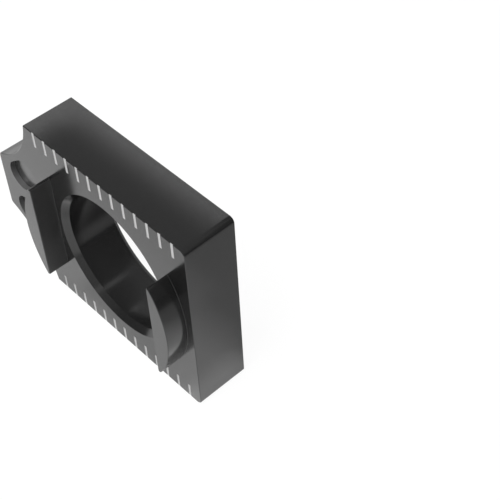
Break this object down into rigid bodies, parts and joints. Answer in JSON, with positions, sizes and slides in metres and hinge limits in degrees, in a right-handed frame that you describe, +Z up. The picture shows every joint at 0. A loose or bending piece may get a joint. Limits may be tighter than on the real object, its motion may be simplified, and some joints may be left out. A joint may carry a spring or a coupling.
{
  "type": "motorcycle chain adjuster",
  "caption": "One-piece motorcycle chain adjuster block with an axle bore, a bolt tongue, edge graduations and two round-backed lugs that hold the axle head.",
  "frame": {"origin": "on the axle bore's axis, halfway through the plate", "axes": "+X along the swingarm towards the plain end, +Y through the plate towards the face that slides on the swingarm, +Z up; the graduated face with the lugs faces -Y"},
  "size_m": [0.0487, 0.0135, 0.0362],
  "materials": {
    "black_anodised": "black anodised, satin to glossy, with pale engraved graduations"
  },
  "bodies": {
    "root": {"adjuster_block": "black_anodised"}
  },
  "joints": []
}
